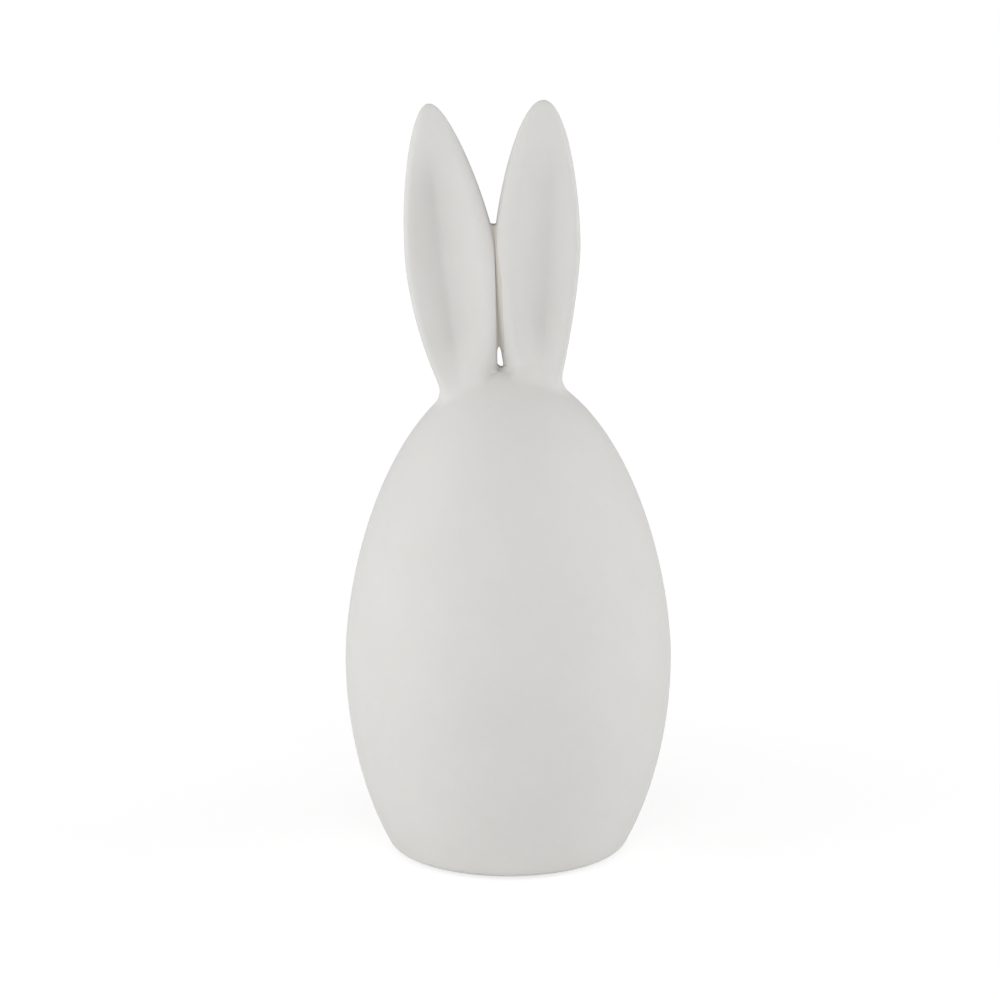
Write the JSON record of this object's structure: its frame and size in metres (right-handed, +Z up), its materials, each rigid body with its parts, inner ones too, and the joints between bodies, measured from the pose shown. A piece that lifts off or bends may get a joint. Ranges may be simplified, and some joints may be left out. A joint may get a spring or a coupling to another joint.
{
  "type": "rabbit figurine",
  "caption": "Plain matt white ceramic rabbit ornament: a smooth, faceless egg-shaped body on a small flat foot with two tall, hollow-fronted upright ears.",
  "frame": {"origin": "centre of the foot, on the plane that the felt pads stand on", "axes": "+Z up along the egg's axis, front towards -Y, the viewer's right is +X"},
  "size_m": [0.096, 0.096, 0.221],
  "materials": {
    "bisque": "matt unglazed white bisque, very finely speckled",
    "slip": "matt unglazed slip, wiped smooth",
    "felt": "white pressed felt"
  },
  "bodies": {
    "root": {"egg_body": "bisque", "left_ear": "bisque", "right_ear": "bisque", "ear_web": "slip", "felt_pad_1": "felt", "felt_pad_2": "felt", "felt_pad_3": "felt", "felt_pad_4": "felt"}
  },
  "joints": []
}
